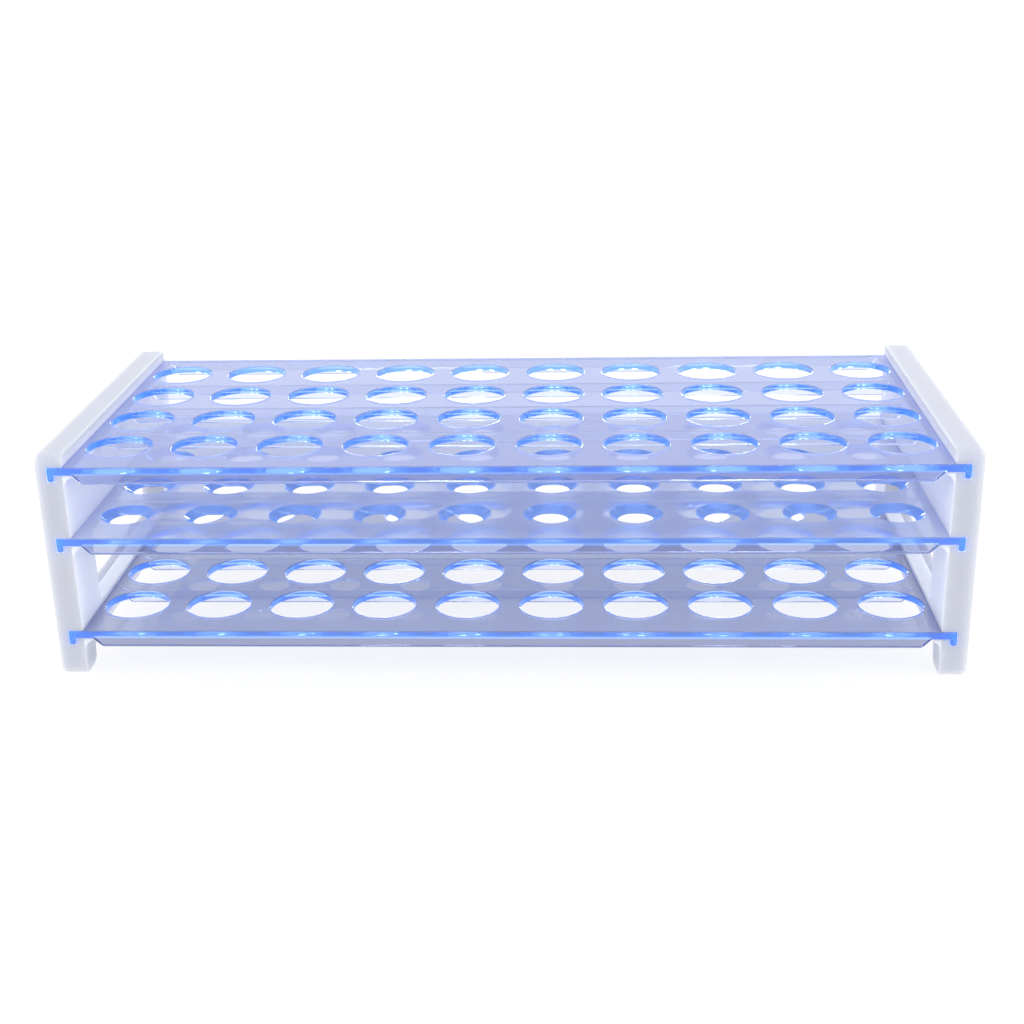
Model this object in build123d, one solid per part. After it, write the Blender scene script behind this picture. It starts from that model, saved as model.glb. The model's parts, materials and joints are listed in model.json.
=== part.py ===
from build123d import *

import os

# A take-apart test tube rack: two end panels carry three clear shelves, each in its own pair of
# L-shaped grooves. Millimetres. The origin is on the ground, at the centre of the grid of holes. X is the
# length, Y points to the back and Z is up.

# ---- driving sizes ----
PITCH = 23.3
COLUMNS = 10
ROWS = 4
LENGTH = 245.0
DEPTH = 106.0
HEIGHT = 63.2

# ---- shelves: height of each top surface above the ground, and their moulding ----
TOP_LEVEL = 59.7
MIDDLE_LEVEL = 39.8
BOTTOM_LEVEL = 12.8
PLATE = 2.0
TUBE_HOLE = 17.5
SEAT_MOUTH = 14.5
SEAT_THROAT = 10.0
RIM_ROUND = 0.4
SKIRT_HEIGHT = 4.6  # front and back skirts and ribs, from the plate's top surface down
SKIRT_THICKNESS = 2.0
RIB_THICKNESS = 1.4
SKIRT_TOP_LENGTH = 225.6
SKIRT_CORNER = 1.5
SKIRT_EDGE_ROUND = 0.4
HOOK_HEIGHT = 3.8  # from the plate's top surface down
HOOK_THICKNESS = 1.6
HOOK_ROUND = 0.5
PLATE_EDGE_ROUND = 0.5

# ---- end panels ----
PANEL_THICKNESS = 7.5
PANEL_TOP_ROUND = 3.5
PANEL_OUTER_ROUND = 1.5
PANEL_INNER_ROUND = 0.5
FOOT_HEIGHT = 6.2
FOOT_DEPTH = 8.8
FOOT_OUTER_ROUND = 1.6
FOOT_INNER_ROUND = 3.0
ARCH_ROUND = 3.0
LEG_DEPTH = 17.5
SILL_HEIGHT = 14.0
WINDOW_TOP = 33.6
WINDOW_ROUND = 3.0
RAIL_REACH = 2.0
RAIL_LIP = 0.6
RAIL_DROP = 3.2

# ---- fit of a shelf in its grooves ----
CLEARANCE = 0.15
GROOVE_WALL = 3.3  # left between the groove and the panel's outer face
GROOVE_STOP = 1.2  # closes the groove at the back
CUT_OVERRUN = 1.0  # how far a groove's cutter passes the surfaces it opens

# ---- worked out from the sizes above ----
INNER_FACE = LENGTH / 2 - PANEL_THICKNESS
GROOVE_END = LENGTH / 2 - GROOVE_WALL
SHELF_REACH = GROOVE_END - CLEARANCE
SHELF_FRONT = -DEPTH / 2
SHELF_BACK = DEPTH / 2 - GROOVE_STOP - CLEARANCE
SKIRT_DROP = SKIRT_HEIGHT - PLATE
LEVELS = {"top_shelf": TOP_LEVEL, "middle_shelf": MIDDLE_LEVEL, "bottom_shelf": BOTTOM_LEVEL}


def bar(outline, front, back):
    """A bar whose outline is a closed chain of edges in (x, z), from one y to another."""
    face = make_face(outline)
    return Plane.XZ.offset(-back) * extrude(face, amount=back - front)


def box_between(low, high):
    """A box from its lowest to its highest corner."""
    size = [b - a for a, b in zip(low, high)]
    return Pos(*low) * Box(*size, align=(Align.MIN, Align.MIN, Align.MIN))


def skirt(front, thickness):
    """A rib under the plate with sloping, rounded ends, its plate's top surface at z = 0."""
    half = SKIRT_TOP_LENGTH / 2
    foot = half - SKIRT_DROP
    corners = [(-half, -PLATE), (half, -PLATE), (foot, -SKIRT_HEIGHT), (-foot, -SKIRT_HEIGHT)]
    rib = bar(Polyline(*corners, close=True).edges(), front, front + thickness)
    rib = fillet(rib.edges().filter_by(Axis.Y).group_by(Axis.Z)[0], SKIRT_CORNER)
    return fillet(rib.edges().filter_by(Axis.X).group_by(Axis.Z)[0], SKIRT_EDGE_ROUND)


def tube_hole():
    """The cutter for a straight hole with both rims rounded."""
    radius = TUBE_HOLE / 2
    rim = radius + RIM_ROUND
    floor = RIM_ROUND - PLATE
    outline = [
        Line((0, 0), (rim, 0)),
        CenterArc((rim, -RIM_ROUND), RIM_ROUND, 90, 90),
        Line((radius, -RIM_ROUND), (radius, floor)),
        CenterArc((rim, floor), RIM_ROUND, 180, 90),
        Polyline((rim, -PLATE), (0, -PLATE), (0, 0)),
    ]
    return revolve(Plane.XZ * make_face(outline), Axis.Z)


def seat_hole():
    """The cutter for a conical seat that holds the round end of a tube."""
    mouth = SEAT_MOUTH / 2
    throat = SEAT_THROAT / 2
    profile = Polyline((0, 0, 0), (mouth, 0, 0), (throat, 0, -PLATE), (0, 0, -PLATE), close=True)
    return revolve(make_face(profile), Axis.Z)


def shelf(level, cutter):
    """One clear shelf: a drilled plate with skirts, ribs between the rows and a hook along each end."""
    plate = box_between((-SHELF_REACH, SHELF_FRONT, -PLATE), (SHELF_REACH, SHELF_BACK, 0))
    body = fillet(plate.edges().filter_by(Axis.X).group_by(Axis.Z)[-1], PLATE_EDGE_ROUND)
    for side in (-1, 1):
        ends = sorted((side * SHELF_REACH, side * (SHELF_REACH - HOOK_THICKNESS)))
        hook = box_between((ends[0], SHELF_FRONT, -HOOK_HEIGHT), (ends[1], SHELF_BACK, -PLATE))
        body += fillet(hook.edges().filter_by(Axis.Y).group_by(Axis.Z)[0], HOOK_ROUND)
    body += skirt(SHELF_FRONT, SKIRT_THICKNESS)
    body += skirt(SHELF_BACK - SKIRT_THICKNESS, SKIRT_THICKNESS)
    for gap in range(1, ROWS):
        middle = (gap - ROWS / 2) * PITCH
        body += skirt(middle - RIB_THICKNESS / 2, RIB_THICKNESS)
    body -= [place * cutter for place in GridLocations(PITCH, PITCH, COLUMNS, ROWS)]
    return Pos(0, 0, level) * body


def panel_side():
    """The panel's side view: two legs, a closed upper part, a window and an arch between the feet."""
    with BuildSketch(Plane.YZ) as side:
        with Locations((0, HEIGHT / 2)):
            Rectangle(DEPTH, HEIGHT)
        fillet(side.vertices().group_by(Axis.Y)[-1], PANEL_TOP_ROUND)
        with Locations((0, FOOT_HEIGHT / 2)):
            Rectangle(DEPTH - 2 * FOOT_DEPTH, FOOT_HEIGHT, mode=Mode.SUBTRACT)
        fillet(side.vertices().group_by(Axis.Y)[1], ARCH_ROUND)
        fillet(side.vertices().group_by(Axis.Y)[0].sort_by(Axis.X)[1:-1], FOOT_INNER_ROUND)
        ground = side.vertices().group_by(Axis.Y)[0].sort_by(Axis.X)
        fillet([ground[0], ground[-1]], FOOT_OUTER_ROUND)
        window_height = WINDOW_TOP - SILL_HEIGHT
        with Locations((0, SILL_HEIGHT + window_height / 2)):
            RectangleRounded(DEPTH - 2 * LEG_DEPTH, window_height, WINDOW_ROUND, mode=Mode.SUBTRACT)
    return side.sketch


def rail(level):
    """The lip under a groove, which curves back into the panel's inner face."""
    top = level - PLATE - CLEARANCE
    root = INNER_FACE + PANEL_INNER_ROUND
    lip = (INNER_FACE - RAIL_REACH, top - RAIL_LIP)
    foot = (INNER_FACE, top - RAIL_DROP)
    outline = Polyline(foot, (root, top - RAIL_DROP), (root, top), (INNER_FACE - RAIL_REACH, top), lip)
    curve = RadiusArc(lip, foot, RAIL_DROP)
    return bar(outline.edges() + curve.edges(), -DEPTH / 2, DEPTH / 2)


def groove(level):
    """The L-shaped groove for a shelf's edge and hook, open at the front and closed at the back."""
    top = level + CLEARANCE
    floor = level - PLATE - CLEARANCE
    pocket = level - HOOK_HEIGHT - CLEARANCE
    hook_side = SHELF_REACH - HOOK_THICKNESS - CLEARANCE
    mouth = INNER_FACE - RAIL_REACH - CUT_OVERRUN
    outline = Polyline((mouth, top), (GROOVE_END, top), (GROOVE_END, pocket), (hook_side, pocket),
                       (hook_side, floor), (mouth, floor), close=True)
    return bar(outline.edges(), SHELF_FRONT - CUT_OVERRUN, SHELF_BACK + CLEARANCE)


def right_panel():
    """The moulded end panel at +X."""
    body = Pos(INNER_FACE, 0, 0) * extrude(panel_side(), amount=PANEL_THICKNESS)
    outer = body.faces().sort_by(Axis.X)[-1]
    body = fillet(outer.outer_wire().edges(), PANEL_OUTER_ROUND)
    for side in (0, -1):
        window = body.faces().filter_by(Axis.X).sort_by(Axis.X)[side].inner_wires()[0]
        body = fillet(window.edges(), PANEL_INNER_ROUND)
    inner = body.faces().filter_by(Axis.X).sort_by(Axis.X)[0]
    body = fillet(inner.outer_wire().edges(), PANEL_INNER_ROUND)
    for level in LEVELS.values():
        body += rail(level)
    for level in LEVELS.values():
        body -= groove(level)
    return body


def main():
    os.makedirs("parts", exist_ok=True)
    right = right_panel()
    pieces = {
        "left_end_panel": mirror(right, about=Plane.YZ),
        "right_end_panel": right,
        "top_shelf": shelf(TOP_LEVEL, tube_hole()),
        "middle_shelf": shelf(MIDDLE_LEVEL, seat_hole()),
        "bottom_shelf": shelf(BOTTOM_LEVEL, tube_hole()),
    }
    for name, piece in pieces.items():
        export_step(piece, f"parts/{name}.step")


main()
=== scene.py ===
import json
import math

import bpy
from mathutils import Matrix, Vector


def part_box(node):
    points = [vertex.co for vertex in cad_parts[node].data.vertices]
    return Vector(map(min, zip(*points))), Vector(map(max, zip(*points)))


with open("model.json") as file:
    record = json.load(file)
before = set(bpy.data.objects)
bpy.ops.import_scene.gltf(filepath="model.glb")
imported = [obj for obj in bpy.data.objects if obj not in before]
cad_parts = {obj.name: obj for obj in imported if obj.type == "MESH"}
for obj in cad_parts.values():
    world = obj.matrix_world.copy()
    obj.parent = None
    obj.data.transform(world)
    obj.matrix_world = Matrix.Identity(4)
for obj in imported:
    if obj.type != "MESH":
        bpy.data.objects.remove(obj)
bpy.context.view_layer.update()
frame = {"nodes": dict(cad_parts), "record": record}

# Lengths are in metres, angles in radians and colours linear.

# ---- the camera ----
CAMERA_PLACE = (0.0238, -0.4261, 0.1913)
CAMERA_YAW = -0.0575
CAMERA_TILT = 0.3680
CAMERA_ROLL = -0.0234
CAMERA_LENS = 54.3  # millimetres, as is the sensor
CAMERA_SENSOR = 36
CAMERA_CLIP_START = 0.01
CAMERA_CLIP_END = 50

# ---- clear plastic; clarity is the share of light that passes through instead of being scattered ----
# Each shelf's colour is the plastic's lavender with painted light: the middle shelf's is painted lighter
# against the top shelf's shadow, the bottom shelf's darker with painted shade from the shelves above.
FACE_TINTS_AND_SHADE = {
    "top_shelf": (0.58, 0.63, 0.89, 1),
    "middle_shelf": (0.75, 0.79, 0.94, 1),
    "bottom_shelf": (0.58, 0.61, 0.77, 1),
}
# The skirts are painted darker shelf by shelf downwards, as painted shade.
SKIRT_TINTS_AND_SHADE = {
    "top_shelf": (0.60, 0.63, 0.84, 1),
    "middle_shelf": (0.53, 0.56, 0.76, 1),
    "bottom_shelf": (0.42, 0.44, 0.60, 1),
}
RIB_TINT = (0.88, 0.90, 0.98, 1)
# Painted light: the blue light that the plastic gathers at its edges and hole walls is painted on as a blue
# colour, and as a blue glow that is no lamp.
PAINTED_EDGE_LIGHT_BLUE = (0.46, 0.66, 1.0, 1)
# Painted highlight: the sloping faces of the hole rims and seats are painted a paler blue.
PAINTED_SLOPE_HIGHLIGHT = (0.84, 0.92, 1.0, 1)
EDGE_LIGHT = (0.04, 0.26, 1.0, 1)
EDGE_GLOW = 0.30
FACE_CLARITY = {"top_shelf": 0.76, "middle_shelf": 0.62, "bottom_shelf": 0.70}
EDGE_CLARITY = 0.88
RIB_CLARITY = 0.97
DEPTH_COLOUR = (0.02, 0.44, 1.0, 1)
DEPTH_DENSITY = 45.0
CLEAR_IOR = 1.5
CLEAR_ROUGHNESS = (0.01, 0.035)
CLEAR_ROUGHNESS_SCALE = 90.0
CLEAR_ROUGHNESS_SPREAD = (0.35, 0.7)
WAVE_SCALE = 55.0
WAVE_STRENGTH = 0.12
WAVE_HEIGHT = 0.0002

# where the edges and ribs of a shelf are: how level a face is, from 0 to 1, and thicknesses
LEVEL_FACE = (0.76, 0.96)
SLOPING_FACE = (0.45, 0.6)
PLATE = 0.0020
PLATE_BLEND = 0.0001
HOOK = 0.0017
SKIRT = 0.0022

# ---- white plastic, whose inner faces and grooves carry painted bounce light and a painted glow ----
PANEL_WHITE = (0.58, 0.595, 0.635, 1)
PANEL_SHADE = (0.55, 0.565, 0.615, 1)
PANEL_SHADE_SCALE = 35.0
PANEL_INSIDE_PAINTED_LIGHT = (0.77, 0.79, 0.84, 1)
INSIDE_GLOW = 0.15
GROOVE_GLOW = 0.3
PANEL_IOR = 1.49
PANEL_SPECULAR = 0.3
SCATTER_RADIUS = (1.0, 1.0, 1.2)
SCATTER_SCALE = 0.006
PANEL_ROUGHNESS = (0.45, 0.58)
PANEL_ROUGHNESS_SCALE = 400.0
GRAIN_SCALE = 1800.0
GRAIN_STRENGTH = 0.12
GRAIN_HEIGHT = 0.0001

# where the inner faces and grooves with painted light are: distances from the middle, how much a wall faces
# the front, and the heights over which the painted light fades at the top and at the feet
INNER_FACE = (0.11502, 0.1152)
GROOVE_START = 0.1152
GROOVE_END = 0.1195
GROOVE_FACING = 0.5
INSIDE_TOP = (0.0605, 0.0625)
INSIDE_FOOT = (0.004, 0.014)

# ---- the floor and the studio ----
FLOOR_SIZE = 14.0
FLOOR_COLOUR = (0.25, 0.25, 0.253, 1)
FLOOR_ROUGHNESS = 0.9
FLOOR_SPECULAR = 0.1
FLOOR_LIGHT = (1.0, 1.0, 1.0, 1)
FLOOR_GLOW = 0.8
WORLD_COLOUR = (0.97, 0.98, 1.0, 1)
WORLD_STRENGTH = 1.0
LAMP_TARGET = (0, 0, 0.03)
# each lamp's name, place, size, watts, and whether it is mirrored in glossy surfaces
LAMPS = (
    ("back_left", (-0.3, 0.6, 1.25), 0.2, 1.2, True),
    ("back_right", (0.3, 0.6, 1.25), 0.2, 1.2, True),
    ("low_left", (-0.2, 1.5, 0.33), 0.16, 1.8, True),
    ("low_right", (0.2, 1.5, 0.33), 0.16, 1.8, True),
    ("left", (-1.1, -0.5, 0.3), 0.7, 2.5, False),
    ("right", (1.1, -0.5, 0.3), 0.7, 2.5, False),
)
CLEAR_BOUNCES = 24
OTHER_BOUNCES = 12


class Nodes:
    """A material's node tree, with short calls to add and join nodes."""

    def __init__(self, name):
        self.material = bpy.data.materials.new(name)
        self.material.use_nodes = True
        self.tree = self.material.node_tree
        self.shader = self.tree.nodes["Principled BSDF"]
        self.output = self.tree.nodes["Material Output"]
        self.place = self.add("ShaderNodeTexCoord").outputs

    def add(self, kind, **settings):
        """A new node, with values for its inputs or its own settings."""
        node = self.tree.nodes.new(kind)
        for name, value in settings.items():
            if name in node.inputs.keys():
                node.inputs[name].default_value = value
            else:
                setattr(node, name, value)
        return node

    def join(self, start, end):
        """A link from an output to an input."""
        self.tree.links.new(start, end)

    def noise(self, scale, detail=3.0):
        """Noise in the object's own metres."""
        noise = self.add("ShaderNodeTexNoise", Scale=scale, Detail=detail)
        self.join(self.place["Object"], noise.inputs["Vector"])
        return noise.outputs["Fac"]

    def split(self, vector):
        """The X, Y and Z of a vector."""
        node = self.add("ShaderNodeSeparateXYZ")
        self.join(vector, node.inputs["Vector"])
        return node.outputs

    def maths(self, operation, first, second=None):
        """A Math node on one or two values, each a socket or a number."""
        node = self.add("ShaderNodeMath", operation=operation)
        for value, socket in zip((first, second), node.inputs):
            if isinstance(value, (int, float)):
                socket.default_value = value
            elif value is not None:
                self.join(value, socket)
        return node.outputs["Value"]

    def ranged(self, value, low, high, start=0.0, end=1.0):
        """low to high, as value goes from start to end."""
        node = self.add("ShaderNodeMapRange")
        for name, number in zip(("From Min", "From Max", "To Min", "To Max"), (start, end, low, high)):
            node.inputs[name].default_value = number
        self.join(value, node.inputs["Value"])
        return node.outputs["Result"]

    def mixed(self, factor, first, second):
        """A colour between first and second, each a socket or a colour."""
        node = self.add("ShaderNodeMix", data_type="RGBA")
        self.join(factor, node.inputs[0])
        for colour, socket in zip((first, second), node.inputs[6:8]):
            if isinstance(colour, tuple):
                socket.default_value = colour
            else:
                self.join(colour, socket)
        return node.outputs[2]

    def bumped(self, height, strength, distance):
        """Bump on the shader, from a height of 0 to 1 over a distance."""
        bump = self.add("ShaderNodeBump", Strength=strength, Distance=distance)
        self.join(height, bump.inputs["Height"])
        self.join(bump.outputs["Normal"], self.shader.inputs["Normal"])


def clear_plastic(node):
    """Clear moulded plastic for one shelf, with the blue light that gathers at the plate's edges and hole
    walls painted on as colour and glow, and its shelf's painted shade.
    """
    nodes = Nodes("clear_plastic_" + node)
    shader = nodes.shader
    low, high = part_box(node)
    place = nodes.split(nodes.place["Object"])
    level = nodes.maths("ABSOLUTE", nodes.split(nodes.place["Normal"])["Z"])
    upright = nodes.ranged(level, 1.0, 0.0, *LEVEL_FACE)
    # Sloping faces of the rims and seats get a painted highlight.
    slope_highlight = nodes.ranged(level, 0.0, 1.0, *SLOPING_FACE)
    underside = high.z - PLATE
    in_plate = nodes.ranged(place["Z"], 0.0, 1.0, underside - PLATE_BLEND, underside + PLATE_BLEND)
    in_hook = nodes.maths("GREATER_THAN", nodes.maths("ABSOLUTE", place["X"]), high.x - HOOK)
    edge = nodes.maths("MULTIPLY", upright, nodes.maths("MAXIMUM", in_plate, in_hook))
    front = nodes.maths("LESS_THAN", place["Y"], low.y + SKIRT)

    # The skirt takes its shelf's painted shade.
    rib_and_skirt_shade = nodes.mixed(front, RIB_TINT, SKIRT_TINTS_AND_SHADE[node])
    painted_edge_light = nodes.mixed(slope_highlight, PAINTED_EDGE_LIGHT_BLUE, PAINTED_SLOPE_HIGHLIGHT)
    tint_and_painted_light = nodes.mixed(edge, nodes.mixed(upright, FACE_TINTS_AND_SHADE[node], rib_and_skirt_shade), painted_edge_light)
    nodes.join(tint_and_painted_light, shader.inputs["Base Color"])
    clarity = nodes.ranged(upright, FACE_CLARITY[node], RIB_CLARITY)
    clarity = nodes.maths("SUBTRACT", clarity, nodes.ranged(edge, 0.0, RIB_CLARITY - EDGE_CLARITY))
    nodes.join(clarity, shader.inputs["Transmission Weight"])
    # Painted glow: the edges shine with blue light of their own, standing in for light piped through the
    # plate.
    shader.inputs["Emission Color"].default_value = EDGE_LIGHT
    nodes.join(nodes.ranged(edge, 0.0, EDGE_GLOW), shader.inputs["Emission Strength"])

    shader.inputs["IOR"].default_value = CLEAR_IOR
    patches = nodes.noise(CLEAR_ROUGHNESS_SCALE)
    roughness = nodes.ranged(patches, *CLEAR_ROUGHNESS, *CLEAR_ROUGHNESS_SPREAD)
    nodes.join(roughness, shader.inputs["Roughness"])
    nodes.bumped(nodes.noise(WAVE_SCALE, detail=1.0), WAVE_STRENGTH, WAVE_HEIGHT)
    depth = nodes.add("ShaderNodeVolumeAbsorption", Color=DEPTH_COLOUR, Density=DEPTH_DENSITY)
    nodes.join(depth.outputs["Volume"], nodes.output.inputs["Volume"])
    return nodes.material


def white_plastic():
    """White moulded plastic with a fine satin grain, which lets a little light through, with painted bounce
    light and a painted glow on its inner faces and grooves.
    """
    nodes = Nodes("white_moulded_plastic")
    shader = nodes.shader
    shader.inputs["IOR"].default_value = PANEL_IOR
    shader.inputs["Specular IOR Level"].default_value = PANEL_SPECULAR
    shader.inputs["Subsurface Weight"].default_value = 1.0
    shader.inputs["Subsurface Radius"].default_value = SCATTER_RADIUS
    shader.inputs["Subsurface Scale"].default_value = SCATTER_SCALE

    place = nodes.split(nodes.place["Object"])
    across = nodes.maths("ABSOLUTE", place["X"])
    facing = nodes.maths("ABSOLUTE", nodes.split(nodes.place["Normal"])["Y"])
    covered = nodes.maths("MULTIPLY", nodes.ranged(place["Z"], 1.0, 0.0, *INSIDE_TOP),
                          nodes.ranged(place["Z"], 0.0, 1.0, *INSIDE_FOOT))
    inner_face = nodes.maths("MULTIPLY", covered, nodes.ranged(across, 1.0, 0.0, *INNER_FACE))
    groove = nodes.maths("MULTIPLY", covered, nodes.maths("LESS_THAN", across, GROOVE_END))
    groove = nodes.maths("MULTIPLY", groove, nodes.maths("GREATER_THAN", across, GROOVE_START))
    groove = nodes.maths("MULTIPLY", groove, nodes.maths("LESS_THAN", facing, GROOVE_FACING))

    # Painted light: the inner faces and grooves are painted paler and glow, standing in for light that the
    # shelves throw on them.
    painted_light_inside = nodes.maths("MAXIMUM", inner_face, groove)
    outside = nodes.mixed(nodes.noise(PANEL_SHADE_SCALE), PANEL_SHADE, PANEL_WHITE)
    nodes.join(nodes.mixed(painted_light_inside, outside, PANEL_INSIDE_PAINTED_LIGHT), shader.inputs["Base Color"])
    shader.inputs["Emission Color"].default_value = PANEL_INSIDE_PAINTED_LIGHT
    glow = nodes.maths("ADD", nodes.ranged(inner_face, 0.0, INSIDE_GLOW),
                       nodes.ranged(groove, 0.0, GROOVE_GLOW))
    nodes.join(glow, shader.inputs["Emission Strength"])
    roughness = nodes.ranged(nodes.noise(PANEL_ROUGHNESS_SCALE), *PANEL_ROUGHNESS)
    nodes.join(roughness, shader.inputs["Roughness"])
    nodes.bumped(nodes.noise(GRAIN_SCALE, detail=2.0), GRAIN_STRENGTH, GRAIN_HEIGHT)
    return nodes.material


def dress_rack():
    """Gives each CAD piece its finish."""
    white = white_plastic()
    for part in frame["record"]["subparts"]:
        node = part["node"]
        clear = part["material_slot"] == "clear_plastic"
        materials = frame["nodes"][node].data.materials
        materials.clear()
        materials.append(clear_plastic(node) if clear else white)


def floor():
    """A plain pale floor under the feet."""
    half = FLOOR_SIZE / 2
    corners = [(-half, -half, 0), (half, -half, 0), (half, half, 0), (-half, half, 0)]
    mesh = bpy.data.meshes.new("floor")
    mesh.from_pydata(corners, [], [(0, 1, 2, 3)])
    plane = bpy.data.objects.new("floor", mesh)
    bpy.context.scene.collection.objects.link(plane)
    nodes = Nodes("pale_floor")
    nodes.shader.inputs["Base Color"].default_value = FLOOR_COLOUR
    nodes.shader.inputs["Roughness"].default_value = FLOOR_ROUGHNESS
    nodes.shader.inputs["Specular IOR Level"].default_value = FLOOR_SPECULAR
    nodes.shader.inputs["Emission Color"].default_value = FLOOR_LIGHT
    nodes.shader.inputs["Emission Strength"].default_value = FLOOR_GLOW
    mesh.materials.append(nodes.material)


def soft_box(name, place, size, power, mirrored):
    """A square studio light that faces the rack."""
    light = bpy.data.lights.new(name, "AREA")
    light.size = size
    light.energy = power
    lamp = bpy.data.objects.new(name, light)
    lamp.location = place
    lamp.rotation_euler = (Vector(LAMP_TARGET) - Vector(place)).to_track_quat("-Z", "Y").to_euler()
    lamp.visible_glossy = mirrored
    bpy.context.scene.collection.objects.link(lamp)


def studio():
    """Even white surroundings and six soft boxes. The four at the back give the holes' rims their glints."""
    world = bpy.data.worlds.new("studio")
    world.use_nodes = True
    background = world.node_tree.nodes["Background"]
    background.inputs["Color"].default_value = WORLD_COLOUR
    background.inputs["Strength"].default_value = WORLD_STRENGTH
    bpy.context.scene.world = world
    for lamp in LAMPS:
        soft_box(*lamp)


def camera():
    """The camera that gives the main view."""
    lens = bpy.data.cameras.new("camera")
    lens.sensor_width = CAMERA_SENSOR
    lens.lens = CAMERA_LENS
    lens.clip_start = CAMERA_CLIP_START
    lens.clip_end = CAMERA_CLIP_END
    viewer = bpy.data.objects.new("camera", lens)
    bpy.context.scene.collection.objects.link(viewer)
    turn = (
        Matrix.Rotation(-CAMERA_YAW, 4, "Z")
        @ Matrix.Rotation(math.pi / 2 - CAMERA_TILT, 4, "X")
        @ Matrix.Rotation(CAMERA_ROLL, 4, "Z")
    )
    viewer.matrix_world = Matrix.Translation(CAMERA_PLACE) @ turn
    bpy.context.scene.camera = viewer


dress_rack()
floor()
studio()
camera()
scene = bpy.context.scene
scene.view_settings.view_transform = "Standard"
scene.cycles.max_bounces = CLEAR_BOUNCES
scene.cycles.transmission_bounces = CLEAR_BOUNCES
scene.cycles.diffuse_bounces = OTHER_BOUNCES
scene.cycles.glossy_bounces = OTHER_BOUNCES
